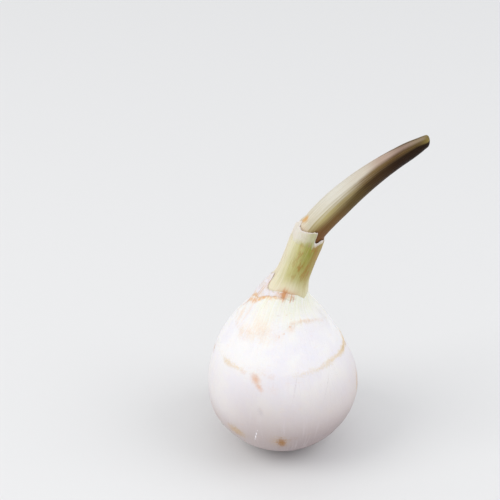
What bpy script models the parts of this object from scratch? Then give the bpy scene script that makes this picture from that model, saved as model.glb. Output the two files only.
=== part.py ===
"""A sprouted kuwai tuber (arrowhead corm), standing on the trimmed scar of its runner.

Five pieces: the starchy corm, the stem of its sprout, the closed bud spear at the stem's end,
the torn papery sheath round the joint between them, and the papery scale left at the stem's foot.

Everything follows one line, the spine: upright through the corm, then leaning to +X along the sprout.
A place on the object is s, the distance along the spine from the rest spot, and an angle round it,
0 towards +X and 90 degrees towards +Y. Metres, +Z up, origin at the centre of the rest spot.
"""

import math

import bmesh
import bpy
from mathutils import Vector

MM = 0.001

# The corm
CORM_RADIUS = 25.0 * MM
LOWER_DEPTH = 23.5 * MM  # from the widest ring down to the pole of the lower half, before it is trimmed
LOWER_POWER = 1.93  # 2 makes the lower half an ellipse, less makes it more pointed
REST_RADIUS = 7.0 * MM  # the flat spot that it stands on
SHOULDER_LENGTH = 45.0 * MM  # from the widest ring up to where the outline has become the stem
SHOULDER_HANDLE = 16.6 * MM
NECK_HANDLE = 11.4 * MM
STEM_RADIUS = 5.6 * MM
WIDEST_S = LOWER_DEPTH * (1.0 - (REST_RADIUS / CORM_RADIUS) ** LOWER_POWER) ** (1.0 / LOWER_POWER)
FULL_SIDE = math.radians(168)  # the side where shoulder and belly are fuller, as shares of the radius
FULL_SHOULDER = 0.072
FULL_BELLY = 0.03

# Ring scars of the scale leaves: height over the widest ring, relief, how far it tilts up towards an angle,
# how far it rises at a second angle and at the place opposite
SCARS = (
    (-13.5 * MM, 0.20 * MM, 0.8 * MM, math.radians(40), 0.5 * MM, math.radians(350)),
    (16.1 * MM, 0.30 * MM, 0.4 * MM, math.radians(300), 0.3 * MM, math.radians(300)),
    (28.2 * MM, 0.30 * MM, 0.6 * MM, math.radians(300), 2.6 * MM, math.radians(290)),
)
SCAR_HALF = 1.1 * MM
SCAR_REACH = 4.5 * MM  # how far from a scar the rows of points follow its wave

# The stem, from the crown of the corm to its node
CROWN_S = WIDEST_S + 39.6 * MM
NODE_S = WIDEST_S + 58.9 * MM
TENON_LENGTH = 1.8 * MM  # the thinner top of the stem, which the sheath is wrapped round
TENON_RADIUS = 4.6 * MM
CORE_RADIUS = 4.0 * MM  # inside this the seam between corm and stem is flat

# The bud spear
SPEAR_LENGTH = 51.4 * MM
SPEAR_RADIUS = 4.5 * MM
FOOT_WAIST = 0.06  # the foot is this share thinner
FOOT_SHIFT = 0.35 * MM  # and stands this far towards +X in the sheath
FOOT_END = 0.14  # both fade out at this share of the length
TAPER_START = 0.28  # from this share of the length on
TAPER = 0.48  # the share of the radius that is lost by the end
TAPER_POWER = 1.1
TIP_START = 0.84
TIP_TAPER = 0.25
TIP_ROUND = 1.2 * MM
TIP_SLANT = 0.38  # how far the tip's upper side reaches past its middle, as a share of the radius there
TIP_SLANT_LENGTH = 5.0 * MM
KEEL_ANGLE = math.radians(118)
KEEL_SHARE = 0.045

# How the spine leans from upright
BEND_S = 50.0 * MM
CROWN_LEAN = math.radians(18)
NODE_LEAN = math.radians(16.2)
NODE_BEND = 3.0 * MM  # the length of the kink just past the node
ARCH_LEAN = math.radians(25)

# Papery pieces
GAP = 0.3 * MM
MEMBRANE = 0.6 * MM
# Edges: degrees round the spine, and millimetres along it from the crown or from the node
STEM_FOOT = (
    (0, 0.1), (40, 0.3), (90, 0.0), (140, -0.8), (180, -1.6), (210, -1.9), (230, -0.9), (252, 0.1),
    (292, 0.1), (303, -0.3), (318, -1.2), (334, -0.5), (360, 0.1),
)
SCALE_TOP = (
    (0, -1.0), (80, -1.4), (110, -0.6), (140, -0.2), (165, 0.3), (180, 0.7), (188, 0.8), (196, -0.3),
    (206, -1.0), (218, -1.9), (232, -1.1), (252, -0.2), (272, 0.1), (286, -0.6), (360, -1.0),
)
SCALE_FOOT = (
    (0, -2.0), (80, -3.0), (110, -4.6), (140, -7.0), (165, -8.6), (182, -6.9), (198, -5.9),
    (216, -3.9), (234, -2.6), (252, -1.6), (268, -1.6), (284, -2.6), (360, -2.0),
)
SCALE_SPAN = (72, 292)
SHEATH_TOP = (
    (0, 0.6), (22, 1.6), (48, 2.4), (90, 1.8), (135, 1.3), (162, 1.6), (178, 2.8), (194, 3.5),
    (204, 3.2), (216, 3.3), (236, 3.5), (260, 4.0), (276, 4.4), (286, 4.9), (290, 3.0), (296, 0.6),
    (308, 0.7), (325, 0.6), (345, 0.3), (360, 0.6),
)

# Sides of each piece
CORM_SIDES = 60
STEM_SIDES = 32
SPEAR_SIDES = 28
BAND_SIDES = 56
SCALE_STATIONS = 48
BAND_ROWS = 4
SPINE_STEP = 0.25 * MM


def ease(x, start, end):
    """0 before start, 1 after end, smooth between."""
    t = min(max((x - start) / (end - start), 0.0), 1.0)
    return t * t * (3.0 - 2.0 * t)


def spread(x, start, end):
    return min(max((x - start) / (end - start), 0.0), 1.0)


def axes_at(s):
    """The spine's direction at s, and the two axes of its cross-section."""
    lean = (
        CROWN_LEAN * ease(s, BEND_S, CROWN_S)
        + NODE_LEAN * ease(s, NODE_S, NODE_S + NODE_BEND)
        + ARCH_LEAN * spread(s, NODE_S, NODE_S + SPEAR_LENGTH)
    )
    along = Vector((math.sin(lean), 0.0, math.cos(lean)))
    across = Vector((math.cos(lean), 0.0, -math.sin(lean)))
    return along, across, Vector((0.0, 1.0, 0.0))


def walk_spine():
    points = [Vector((0.0, 0.0, 0.0))]
    steps = int((NODE_S + SPEAR_LENGTH) / SPINE_STEP) + 2
    for i in range(steps):
        along = axes_at((i + 0.5) * SPINE_STEP)[0]
        points.append(points[-1] + along * SPINE_STEP)
    return points


SPINE = walk_spine()


def centre_at(s):
    i = min(max(int(s / SPINE_STEP), 0), len(SPINE) - 2)
    return SPINE[i].lerp(SPINE[i + 1], s / SPINE_STEP - i)


def place(s, angle, radius, lift=0.0):
    along, across, back = axes_at(s)
    outward = across * math.cos(angle) + back * math.sin(angle)
    return centre_at(s) + outward * radius + along * lift


def place_on_stem(s, angle, radius):
    """Like place, but past the node it keeps to the stem's own straight line."""
    return place(min(s, NODE_S), angle, radius, max(s - NODE_S, 0.0))


def shoulder_at(t):
    """(s, radius) on the curve from the widest ring to the stem, t from 0 to 1."""
    a, b, c, d = (1 - t) ** 3, 3 * (1 - t) ** 2 * t, 3 * (1 - t) * t * t, t ** 3
    height = b * SHOULDER_HANDLE + c * (SHOULDER_LENGTH - NECK_HANDLE) + d * SHOULDER_LENGTH
    return WIDEST_S + height, (a + b) * CORM_RADIUS + (c + d) * STEM_RADIUS


def outline_radius(s):
    """The radius of the corm and stem at s."""
    below = WIDEST_S - s
    if below > 0:
        return CORM_RADIUS * max(1.0 - (below / LOWER_DEPTH) ** LOWER_POWER, 0.0) ** (1.0 / LOWER_POWER)
    if s >= WIDEST_S + SHOULDER_LENGTH:
        return STEM_RADIUS
    low, high = 0.0, 1.0
    for _ in range(40):
        mid = (low + high) / 2
        if shoulder_at(mid)[0] < s:
            low = mid
        else:
            high = mid
    return shoulder_at(low)[1]


def outline_normal(s):
    """Outward from the outline at s, as (share outward, share along the spine)."""
    step = 0.05 * MM
    slope = (outline_radius(s + step) - outline_radius(s - step)) / (2 * step)
    length = math.hypot(1.0, slope)
    return 1.0 / length, -slope / length


def swelling(s, angle):
    """The corm isn't quite round. This share of its radius fades out towards the crown and the rest spot."""
    fade = ease(s, 0.0, 12 * MM) * (1.0 - ease(s, WIDEST_S + 20 * MM, CROWN_S - 6 * MM))
    turn = s / (40 * MM)
    shift = 0.018 * ease(s, WIDEST_S, WIDEST_S + 16 * MM) + 0.016 * (1.0 - ease(s, WIDEST_S - 16 * MM, WIDEST_S))
    height = s - WIDEST_S
    shoulder = FULL_SHOULDER * ease(height, 4 * MM, 27 * MM) * (1.0 - ease(height, 26.5 * MM, 31.5 * MM))
    belly = FULL_BELLY * math.exp(-((height + 9.5 * MM) / (5 * MM)) ** 2)
    full = (shoulder + belly) * (0.5 + 0.5 * math.cos(angle - FULL_SIDE)) ** 3
    return fade * (0.011 * math.cos(2 * angle + 0.9) + 0.007 * math.cos(3 * angle - turn) - 0.004
                   + (0.004 - shift) * math.cos(angle)) + full


def scar_wave(scar, angle):
    _, _, tilt, tilt_to, rise, rise_at = scar
    return (tilt * math.cos(angle - tilt_to) + rise * math.cos(2 * (angle - rise_at))
            + 0.25 * MM * math.sin(5 * angle + tilt_to))


def corm_point(s, angle):
    """A point of the corm's surface. Rows near a scar follow its wave, and stand out by its relief."""
    shift, relief = 0.0, 0.0
    for scar in SCARS:
        away = s - (WIDEST_S + scar[0])
        near = math.exp(-(away / SCAR_REACH) ** 2)
        shift += scar_wave(scar, angle) * near
        relief += scar[1] * math.exp(-(away / (SCAR_HALF * 0.7)) ** 2)
    s = max(s + shift, 0.0)
    outward, up = outline_normal(s)
    radius = outline_radius(s) * (1.0 + swelling(s, angle)) + relief * outward
    return place(s, angle, radius, relief * up)


def edge_at(table, angle):
    """A torn edge's place along the spine, read from its table."""
    degrees = math.degrees(angle) % 360
    for (a, low), (b, high) in zip(table, table[1:]):
        if a <= degrees <= b:
            return (low + (high - low) * (degrees - a) / (b - a)) * MM
    return table[-1][1] * MM


def angles(sides):
    return [2 * math.pi * i / sides for i in range(sides)]


def material(name, colour, roughness):
    made = bpy.data.materials.new(name)
    made.use_nodes = True
    shader = made.node_tree.nodes["Principled BSDF"]
    shader.inputs["Base Color"].default_value = (*colour, 1.0)
    shader.inputs["Roughness"].default_value = roughness
    shader.inputs["Metallic"].default_value = 0.0
    made.diffuse_color = (*colour, 1.0)
    return made


def add_object(name, bm, finish, sharp_degrees):
    bmesh.ops.recalc_face_normals(bm, faces=bm.faces)
    mesh = bpy.data.meshes.new(name)
    bm.to_mesh(mesh)
    bm.free()
    mesh.shade_smooth()
    mesh.set_sharp_from_angle(angle=math.radians(sharp_degrees))
    mesh.materials.append(finish)
    obj = bpy.data.objects.new(name, mesh)
    bpy.context.scene.collection.objects.link(obj)
    return obj


def loft(name, rings, finish, sharp_degrees=40):
    """A solid through rings of points, each end closed by a flat face."""
    bm = bmesh.new()
    rows = [[bm.verts.new(point) for point in ring] for ring in rings]
    for low, high in zip(rows, rows[1:]):
        for i in range(len(low)):
            j = (i + 1) % len(low)
            bm.faces.new((low[i], low[j], high[j], high[i]))
    bm.faces.new(list(reversed(rows[0])))
    bm.faces.new(rows[-1])
    return add_object(name, bm, finish, sharp_degrees)


def band(name, sections, finish):
    """A closed ring through sections, each a loop of points, the last joined to the first."""
    bm = bmesh.new()
    loops = [[bm.verts.new(point) for point in section] for section in sections]
    for here, after in zip(loops, loops[1:] + loops[:1]):
        for i in range(len(here)):
            j = (i + 1) % len(here)
            bm.faces.new((here[i], after[i], after[j], here[j]))
    return add_object(name, bm, finish, sharp_degrees=50)


def corm_rows():
    """Where the corm's rows of points go along the spine, closer together at each scar."""
    rows = [0.0, 0.5 * MM, 1.3 * MM]
    step = 2.6 * MM
    while rows[-1] + step < CROWN_S - 3.0 * MM:
        rows.append(rows[-1] + step * (0.6 if rows[-1] < 8 * MM else 1.0))
    for scar in SCARS:
        middle = WIDEST_S + scar[0]
        rows = [s for s in rows if abs(s - middle) > 1.6 * MM]
        rows += [middle - SCAR_HALF, middle, middle + SCAR_HALF]
    return sorted(rows)


def seam(sides, side):
    """The wavy ring where corm and stem meet, and the flat ring inside it. Side is -1 or 1 along the spine."""
    half = side * GAP / 2
    wavy = []
    for angle in angles(sides):
        s = CROWN_S + edge_at(STEM_FOOT, angle) + half
        wavy.append(place(s, angle, outline_radius(s)))
    return wavy, [place(CROWN_S + half, angle, CORE_RADIUS) for angle in angles(sides)]


def make_corm():
    finish = material("corm_skin", (0.86, 0.84, 0.78), 0.42)
    rings = [[corm_point(s, angle) for angle in angles(CORM_SIDES)] for s in corm_rows()]
    for point in rings[0]:
        point.z = 0.0
    return loft("corm", rings + list(seam(CORM_SIDES, -1)), finish)


def stem_radius(s):
    """The stem has a slight waist."""
    waist = 0.15 * MM * math.exp(-((s - (CROWN_S + NODE_S) / 2) / (6.0 * MM)) ** 2)
    return outline_radius(s) - waist


def make_stem():
    finish = material("stem_skin", (0.62, 0.62, 0.36), 0.45)
    start, shoulder = CROWN_S + 1.2 * MM, NODE_S - TENON_LENGTH - GAP
    rows = 9
    spots = [start + (shoulder - start) * i / rows for i in range(rows + 1)]
    profile = [(s, stem_radius(s)) for s in spots]
    profile += [(shoulder, TENON_RADIUS), (NODE_S, TENON_RADIUS)]
    rings = [[place(s, angle, radius) for angle in angles(STEM_SIDES)] for s, radius in profile]
    wavy, flat = seam(STEM_SIDES, 1)
    return loft("sprout_stem", [flat, wavy] + rings, finish)


def spear_radius(s):
    u = spread(s, NODE_S, NODE_S + SPEAR_LENGTH)
    body = SPEAR_RADIUS * (1.0 - FOOT_WAIST * (1.0 - ease(u, 0.0, FOOT_END)))
    body *= 1.0 - TAPER * spread(u, TAPER_START, 1.0) ** TAPER_POWER
    body *= 1.0 - TIP_TAPER * spread(u, TIP_START, 1.0) ** 1.5
    past = spread(s, NODE_S + SPEAR_LENGTH - TIP_ROUND, NODE_S + SPEAR_LENGTH)
    return body * math.sqrt(max(1.0 - past ** 2.4, 0.0))


def spear_point(s, angle):
    u = spread(s, NODE_S, NODE_S + SPEAR_LENGTH)
    keel = KEEL_SHARE * ease(u, 0.1, 0.6)
    radius = spear_radius(s) * (1.0 + keel * math.cos(3 * (angle - KEEL_ANGLE)))
    end = NODE_S + SPEAR_LENGTH
    slant = TIP_SLANT * ease(s, end - TIP_SLANT_LENGTH, end - TIP_ROUND)
    shift = FOOT_SHIFT * (1.0 - ease(u, 0.0, FOOT_END))
    return place(s, angle, radius, -slant * radius * math.cos(angle)) + axes_at(s)[1] * shift


def make_spear():
    finish = material("bud_skin", (0.33, 0.27, 0.13), 0.38)
    start, end = NODE_S + GAP, NODE_S + SPEAR_LENGTH
    rows = 22
    spots = [start + (end - TIP_ROUND - start) * i / rows for i in range(rows + 1)]
    spots += [end - TIP_ROUND * share for share in (0.72, 0.46, 0.24, 0.09, 0.02)]
    rings = [[spear_point(s, angle) for angle in angles(SPEAR_SIDES)] for s in spots]
    return loft("bud_spear", rings, finish)


def make_sheath():
    """The torn sheath: wrapped round the stem's tenon, and standing round the foot of the spear."""
    finish = material("sheath_paper", (0.80, 0.75, 0.68), 0.6)
    foot = NODE_S - TENON_LENGTH
    inner = TENON_RADIUS + GAP
    sections = []
    for angle in angles(BAND_SIDES):
        top = NODE_S + edge_at(SHEATH_TOP, angle)
        spots = [foot + (top - foot) * i / BAND_ROWS for i in range(BAND_ROWS + 1)]
        inside = [place_on_stem(s, angle, inner) for s in spots]
        outside = [place_on_stem(s, angle, inner + MEMBRANE) for s in spots]
        sections.append(inside + outside[::-1])
    return band("node_sheath", sections, finish)


def make_scale():
    """What is left of the last scale leaf: a strip lying on the crown, with a flap standing on the -X side."""
    finish = material("scale_paper", (0.74, 0.58, 0.42), 0.65)
    start, end = (math.radians(degrees) for degrees in SCALE_SPAN)
    sections = []
    for k in range(SCALE_STATIONS):
        angle = start + (end - start) * k / (SCALE_STATIONS - 1)
        top = CROWN_S + edge_at(SCALE_TOP, angle)
        foot = CROWN_S + edge_at(SCALE_FOOT, angle)
        inside, outside = [], []
        for i in range(BAND_ROWS + 1):
            s = foot + (top - foot) * i / BAND_ROWS
            outward, up = outline_normal(s)
            for side, lift in ((inside, GAP), (outside, GAP + MEMBRANE)):
                side.append(place(s, angle, outline_radius(s) + lift * outward, lift * up))
        sections.append(inside + outside[::-1])
    return loft("crown_scale", sections, finish, sharp_degrees=50)


def main():
    for obj in list(bpy.data.objects):
        bpy.data.objects.remove(obj)
    make_corm()
    make_stem()
    make_spear()
    make_sheath()
    make_scale()


main()
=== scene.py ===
"""How the sprouted kuwai tuber looks: its skins, scars, stains and torn papery leaves, on a pale floor.

The shapes keep to the line that the CAD pieces follow, the spine: upright through the corm, then leaning
to +X along the sprout. A place is s, the distance along the spine from the rest spot, and an angle round
it, 0 towards +X and 90 degrees towards +Y. Lengths are in millimetres until a mesh is made.
"""

import math

import bpy
import numpy as np
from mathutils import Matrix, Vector


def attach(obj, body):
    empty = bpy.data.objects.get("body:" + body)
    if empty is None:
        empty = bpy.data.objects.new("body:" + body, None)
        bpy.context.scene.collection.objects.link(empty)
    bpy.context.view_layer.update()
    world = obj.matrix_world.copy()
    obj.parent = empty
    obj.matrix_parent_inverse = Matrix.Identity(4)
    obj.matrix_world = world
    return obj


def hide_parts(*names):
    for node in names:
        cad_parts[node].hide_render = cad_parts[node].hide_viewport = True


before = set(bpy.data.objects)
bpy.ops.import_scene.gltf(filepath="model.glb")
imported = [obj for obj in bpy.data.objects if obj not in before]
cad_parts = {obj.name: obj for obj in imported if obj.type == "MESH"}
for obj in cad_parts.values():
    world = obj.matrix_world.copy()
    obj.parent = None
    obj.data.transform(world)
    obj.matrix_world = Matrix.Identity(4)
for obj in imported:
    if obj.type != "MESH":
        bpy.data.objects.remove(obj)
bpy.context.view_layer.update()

MM = 0.001
TURN = 2 * math.pi

# The outline of corm and stem
CORM_RADIUS = 25.0
LOWER_DEPTH = 23.5
LOWER_POWER = 1.93
REST_RADIUS = 7.0
REST_HOLLOW = 0.55  # how deep the middle of the rest spot is
REST_RIPPLE = 0.04
SHOULDER_LENGTH = 45.0
SHOULDER_HANDLE = 16.6
NECK_HANDLE = 11.4
STEM_RADIUS = 5.6
STEM_WAIST = 0.15  # how much thinner the stem is half way up
STEM_TUCK = 0.15  # and how much thinner again inside the sheath
STEM_RIB = 0.035
WIDEST_S = LOWER_DEPTH * (1.0 - (REST_RADIUS / CORM_RADIUS) ** LOWER_POWER) ** (1.0 / LOWER_POWER)
FULL_SIDE = math.radians(168)  # the side where shoulder and belly are fuller
FULL_SHOULDER = 0.072  # by these shares of the radius
FULL_BELLY = 0.03
SKIN_INSET = 0.12  # the skins lie this far inside the CAD faces, so that their relief stays in its box

# The sprout
CROWN_S = WIDEST_S + 39.6
NODE_S = WIDEST_S + 58.9
SPEAR_LENGTH = 51.4
SPEAR_RADIUS = 4.5
FOOT_WAIST = 0.06  # the foot is this share thinner
FOOT_SHIFT = 0.35  # and stands this far towards +X in the sheath
FOOT_END = 0.14  # both fade out at this share of the length
TAPER_START = 0.28
TAPER = 0.48  # the share of the radius that is lost by the end
TAPER_POWER = 1.1
TIP_START = 0.84
TIP_TAPER = 0.25
TIP_ROUND = 1.2
TIP_SLANT = 0.38  # how far the tip's upper side reaches past its middle, as a share of the radius there
TIP_SLANT_LENGTH = 5.0
FOOT_SWELL = 0.28  # how far the foot swells on its right
FOOT_SWELL_AT = 335.0
FOOT_BULGE = 0.80  # and on its left, where it closes the gap behind the sheath
FOOT_BULGE_AT = 190.0
SPEAR_LINE = 0.03  # the height of the fine lines along it, and of its slow waves
KEEL_ANGLE = math.radians(118)
KEEL_SHARE = 0.045
DARK_MIDDLE = 350.0  # the middle of its dark underside, which is partly painted shade, in degrees
BEND_S = 50.0
CROWN_LEAN = math.radians(18)
NODE_LEAN = math.radians(16.2)
NODE_BEND = 3.0
ARCH_LEAN = math.radians(25)

# Ring scars: height over the widest ring, tilt and the angle it rises to, rise and the angle it is at
SCARS = {
    "low": (-13.5, 0.8, math.radians(40), 0.5, math.radians(350)),
    "mid": (16.1, 0.4, math.radians(300), 0.3, math.radians(300)),
    "high": (28.2, 0.6, math.radians(300), 2.6, math.radians(290)),
}
SCAR_REACH = 4.5  # how far from a scar the rows of points follow its wave
SCAR_ROWS = 1.4  # how far from a scar the rows are finer
SCAR_STEP = 0.175
SCAR_SWELL = {"low": 0.08, "mid": 0.12, "high": 0.10}
SCAR_LIP = {"low": 0.02, "mid": 0.05, "high": 0.03}
SWELL_WIDTH = 1.3
LIP_WIDTH = 0.35
LIP_AT = 0.1  # how far above a scar's middle its lip is
SLOW_LUMPS = 0.06  # the height of the corm's broad lumps, and of its small ones
QUICK_LUMPS = 0.02
CROWN_TUCK = 0.30  # how far the corm's top edge turns in under the stem

# Edges: degrees round the spine, and millimetres along it from the crown or from the node
STEM_FOOT = (
    (0, 0.1), (40, 0.3), (90, 0.0), (140, -0.8), (180, -1.6), (210, -1.9), (230, -0.9), (252, 0.1),
    (292, 0.1), (303, -0.3), (318, -1.2), (334, -0.5), (360, 0.1),
)
SCALE_TOP = (
    (0, -1.0), (80, -1.4), (110, -0.6), (140, -0.2), (160, 0.3), (172, 1.3), (181, 2.3), (187, 2.9),
    (190, 2.4), (194, 1.1), (198, -0.4), (202, -1.4), (207, -1.7), (213, -1.7), (221, -1.4), (232, -0.9),
    (252, -0.1), (272, 0.1), (286, -0.6), (360, -1.0),
)
SCALE_FOOT = (
    (0, -2.0), (80, -3.0), (110, -4.6), (140, -7.0), (165, -8.6), (182, -6.9), (198, -5.9),
    (216, -3.5), (234, -2.2), (252, -1.5), (268, -1.6), (284, -2.6), (360, -2.0),
)
SCALE_SPAN = (74, 290)
SHEATH_TOP = (
    (0, 0.6), (22, 1.4), (48, 1.6), (90, 1.0), (135, 0.6), (158, 1.0), (170, 2.4), (177, 3.9),
    (184, 4.7), (195, 4.8), (201, 4.0), (208, 3.4), (224, 3.4), (236, 3.5), (256, 4.1), (268, 4.6),
    (277, 4.9), (280, 3.4), (284, 1.2), (293, 0.6), (303, 1.1), (313, 1.7), (328, 1.3), (345, 0.6),
    (360, 0.6),
)

# How strongly each ring scar shows round the corm
SCAR_SHOWS = {
    "mid": ((0, 0.85), (14, 0.9), (40, 0.3), (70, 0.7), (110, 0.5), (150, 0.2), (175, 0.3), (200, 0.2),
            (207, 0.62), (222, 0.55), (238, 0.15), (262, 0.03), (282, 0.32), (300, 0.45), (322, 0.6),
            (338, 0.70), (350, 0.85), (360, 0.85)),
    "high": ((0, 0.3), (60, 0.5), (100, 0.2), (150, 0.5), (200, 0.3), (236, 0.25), (270, 0.15),
             (284, 0.5), (310, 0.65), (336, 0.45), (360, 0.3)),
    "low": ((0, 0.2), (80, 0.5), (140, 0.3), (220, 0.4), (250, 0.1), (285, 0.3), (330, 0.2), (360, 0.2)),
}

# Stains of each kind: height over the widest ring, degrees, half width, half length, slant, strength
STAINS = {
    "rust": (
        (14.7, 244.4, 1.35, 1.4, 0.35, 0.72), (12.8, 248.2, 1.0, 1.3, 0.8, 0.66),
        (17.0, 249.5, 2.6, 1.4, 0.0, 0.24), (16.2, 258.5, 1.2, 0.9, 0.0, 0.34),
        (12.6, 261.0, 2.0, 2.0, 0.0, 0.22), (15.4, 231.0, 1.2, 0.6, 0.0, 0.36),
        (17.6, 236.0, 1.2, 1.0, 0.0, 0.18), (10.5, 96.0, 1.4, 2.4, 0.2, 0.5),
    ),
    "pink": (
        (28.2, 184.0, 1.3, 1.9, 0.9, 0.6), (25.6, 207.0, 1.5, 2.0, 0.5, 0.52),
        (26.4, 221.0, 2.8, 1.9, 0.2, 0.5), (28.6, 235.0, 3.6, 2.6, 0.2, 0.52),
        (26.0, 243.0, 3.4, 1.4, 0.0, 0.36), (27.4, 259.0, 2.6, 1.4, 0.1, 0.38),
        (31.4, 246.0, 2.8, 2.2, 0.0, 0.28), (30.0, 197.0, 0.8, 4.6, 0.1, 0.44),
        (24.4, 205.0, 1.6, 2.4, 0.1, 0.3), (27.5, 40.0, 3.0, 2.2, 0.2, 0.5),
        (26.0, 110.0, 4.0, 2.6, -0.2, 0.5), (34.6, 228.0, 1.0, 2.4, 0.1, 0.34),
        (29.4, 281.0, 1.8, 0.9, -0.2, 0.45), (38.2, 246.0, 1.8, 1.0, 0.0, 0.6),
        (24.0, 60.0, 3.2, 3.4, 0.1, 0.4),
    ),
    "fleck": (
        (33.6, 274.0, 0.3, 0.25, 0.0, 0.45), (32.4, 282.5, 0.35, 0.22, 0.0, 0.4),
        (30.2, 279.5, 0.45, 0.3, 0.0, 0.6), (28.2, 271.0, 0.35, 0.22, 0.0, 0.5),
        (27.6, 264.0, 0.35, 0.25, 0.0, 0.5), (33.0, 258.0, 0.25, 0.25, 0.0, 0.4),
    ),
    "ochre": (
        (-7.6, 267.0, 3.4, 3.2, 0.0, 0.45), (-7.2, 229.5, 3.2, 1.9, 0.2, 0.72),
        (2.6, 350.5, 1.2, 3.2, -0.58, 0.66), (2.0, 354.0, 2.2, 3.6, -0.58, 0.3),
        (-9.0, 75.0, 5.0, 2.0, 0.1, 0.5), (12.0, 174.0, 1.7, 1.1, 0.0, 0.7),
        (16.0, 351.0, 1.5, 0.5, 0.0, 0.6), (14.6, 2.0, 1.6, 0.6, 0.3, 0.7),
    ),
    "brown": (
        (-8.4, 269.0, 1.4, 2.2, 0.1, 0.9), (-9.0, 230.0, 1.8, 1.4, 0.3, 0.35),
        (-6.9, 273.5, 1.7, 1.0, 0.1, 0.42), (-6.1, 279.5, 2.2, 0.9, 0.1, 0.36),
        (-11.0, 150.0, 2.2, 1.2, 0.2, 0.5), (15.2, 358.0, 0.8, 0.3, 0.4, 0.35),
    ),
    "grey": (
        (4.6, 252.0, 0.9, 1.4, 0.2, 0.48), (12.9, 280.0, 0.22, 3.4, -0.26, 0.45),
        (10.5, 309.0, 0.22, 4.8, -0.63, 0.4), (2.0, 296.0, 0.2, 3.6, -0.4, 0.25),
        (3.0, 60.0, 0.4, 5.0, 0.0, 0.4), (28.5, 352.0, 1.2, 5.0, 0.0, 0.3),
    ),
    "white": (
        (-6.2, 248.0, 0.16, 3.2, -0.26, 0.75),
    ),
    "orange": (
        (39.0, 256.5, 0.9, 1.3, 0.05, 0.9), (39.9, 264.0, 1.2, 0.7, 0.1, 0.45),
        (39.0, 268.0, 1.4, 0.6, 0.0, 0.45), (38.6, 248.0, 1.5, 0.4, 0.2, 0.35),
        (57.6, 251.0, 0.45, 1.1, 0.1, 0.3), (30.6, 169.0, 0.9, 0.9, 0.0, 0.6),
        (29.2, 165.5, 0.7, 0.9, 0.3, 0.48),
    ),
}
CROWN_BORDER = 205.0  # where the cream colour of the crown has a clear border, in degrees
SCALE_TRACE = (  # how strongly the fallen scale's foot has stained the skin
    (0, 0.0), (60, 0.0), (90, 0.4), (130, 0.6), (165, 0.9), (190, 1.0), (212, 0.85), (228, 0.75),
    (242, 0.55), (262, 0.3), (278, 0.0), (360, 0.0),
)
ORANGE_FIBRES = (  # height of the lower end, degrees, strength
    (37.0, 276.5, 0.75), (37.4, 284.0, 0.65), (38.2, 280.5, 0.4), (37.8, 266.0, 0.45), (36.7, 246.0, 0.3),
    (37.0, 237.0, 0.3), (38.4, 290.0, 0.3), (37.0, 258.0, 0.35), (32.6, 196.0, 0.5), (31.4, 190.0, 0.4),
)
FIBRE_END = 41.2

# How finely the skins are made
CORM_SIDES = 340
CORM_STEP = 0.42
STEM_SIDES = 200
SPEAR_SIDES = 180
PAPER_SIDES = 520
PAPER_ROWS = 22
PAPER = 0.12  # thickness of a papery piece

# The sheath: how far out it stands from the stem's middle, and the most that its waves and curls reach
SHEATH_RADIUS = 5.40
SHEATH_LIMIT = 5.56
SHEATH_HUG = 0.34  # how far its right side leans in
SHEATH_LEAN = 0.20  # how far its left side does
TOOTH_LEAN = 1.15  # and the tooth on that side, which bends over the spear's foot
SHEATH_FOOT = -2.6  # its lower edge, in millimetres along the spine from the node
# How wide the paler edge of the sheath is, at degrees round the spine
SHEATH_VEIL = (
    (0, 1.0), (60, 3.0), (150, 4.0), (200, 5.8), (236, 4.4), (254, 4.0), (274, 5.0), (281, 3.2), (290, 1.7),
    (300, 1.6), (345, 1.3), (360, 1.0),
)

# Colours that more than one skin has
NECK_PINK = (234, 206, 184)
STRAND = (214, 150, 112)
ORANGE = (208, 148, 100)

# The camera: to the front, looking down at the tuber
CAMERA_AT = (-0.01080, -0.51803, 0.41744)
CAMERA_PITCH = math.radians(33.5)
CAMERA_LENS = 139.97


def srgb(red, green, blue):
    """A colour as a screen shows it, 0 to 255, turned into what a shader needs."""
    parts = [c / 255 for c in (red, green, blue)]
    return (*[p / 12.92 if p <= 0.04045 else ((p + 0.055) / 1.055) ** 2.4 for p in parts], 1.0)


def spread(x, start, end):
    return np.clip((x - start) / (end - start), 0.0, 1.0)


def ease(x, start, end):
    t = spread(x, start, end)
    return t * t * (3.0 - 2.0 * t)


def lean_at(s):
    return (
        CROWN_LEAN * ease(s, BEND_S, CROWN_S)
        + NODE_LEAN * ease(s, NODE_S, NODE_S + NODE_BEND)
        + ARCH_LEAN * spread(s, NODE_S, NODE_S + SPEAR_LENGTH)
    )


def walk_spine(step=0.1):
    s = np.arange(0.0, NODE_S + SPEAR_LENGTH + 1.0, step)
    lean = lean_at(s[:-1] + step / 2)
    x = np.concatenate([[0.0], np.cumsum(np.sin(lean)) * step])
    z = np.concatenate([[0.0], np.cumsum(np.cos(lean)) * step])
    return s, x, z


SPINE = walk_spine()


def place(s, angle, radius, lift=0.0):
    """Points at that radius from the spine, and lifted along its direction there."""
    lean = lean_at(s)
    outward = np.cos(angle) * radius
    x = np.interp(s, SPINE[0], SPINE[1]) + np.cos(lean) * outward + np.sin(lean) * lift
    z = np.interp(s, SPINE[0], SPINE[2]) - np.sin(lean) * outward + np.cos(lean) * lift
    y = np.sin(angle) * radius
    return np.stack(np.broadcast_arrays(x, y, z), axis=-1)


def place_on_stem(s, angle, radius):
    """Like place, but past the node it keeps to the stem's own straight line."""
    return place(np.minimum(s, NODE_S), angle, radius, np.maximum(s - NODE_S, 0.0))


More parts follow.
